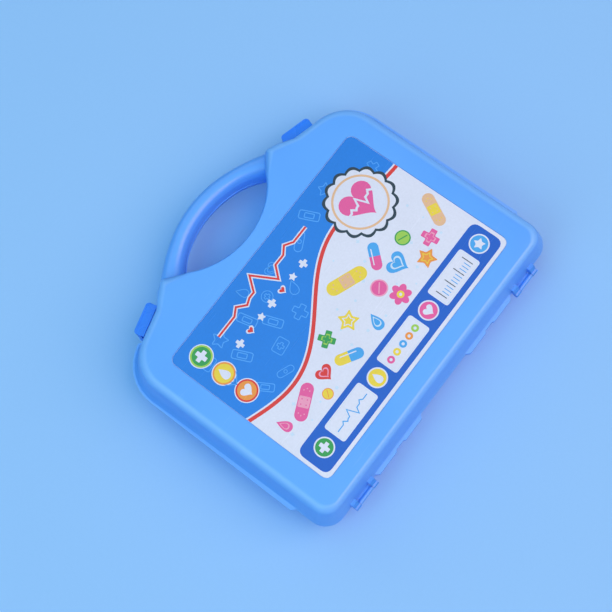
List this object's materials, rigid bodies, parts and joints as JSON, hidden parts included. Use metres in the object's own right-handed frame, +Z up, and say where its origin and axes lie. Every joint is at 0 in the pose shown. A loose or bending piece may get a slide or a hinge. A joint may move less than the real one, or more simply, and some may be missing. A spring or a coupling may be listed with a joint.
{
  "type": "toy doctor case",
  "caption": "Flat toy carry case of two moulded shells with an arched handle, hinged along one long side and held shut by swing latches.",
  "frame": {"origin": "centre of the closed case's bounding box, on the plane it rests on", "axes": "+Z up through the lid, +Y from the hinge side to the handle, +X along the long side"},
  "size_m": [0.2626, 0.2297, 0.051],
  "materials": {
    "shell": "sky blue injection moulded polypropylene, satin gloss",
    "latch": "deeper blue injection moulded polypropylene, satin gloss",
    "hinge_pin": "deeper blue moulded plastic rod",
    "label": "laminated printed sticker"
  },
  "bodies": {
    "base": {"base_shell": "shell"},
    "lid": {"lid_shell": "shell", "left_hinge_pin": "hinge_pin", "right_hinge_pin": "hinge_pin", "lid_label": "label"},
    "left_latch": {"left_latch": "latch"},
    "right_latch": {"right_latch": "latch"}
  },
  "joints": [
    {"name": "lid_hinge", "type": "hinge", "parent": "base", "child": "lid", "pos_m": [0, -0.11215, 0.0255], "axis": [1, 0, 0], "range_deg": [0, 180]},
    {"name": "left_latch_hinge", "type": "hinge", "parent": "base", "child": "left_latch", "pos_m": [-0.0876, 0.08546, 0.017], "axis": [-0.9636, -0.2672, 0], "range_deg": [0, 95]},
    {"name": "right_latch_hinge", "type": "hinge", "parent": "base", "child": "right_latch", "pos_m": [0.0876, 0.08546, 0.017], "axis": [-0.9636, 0.2672, 0], "range_deg": [0, 95]}
  ]
}
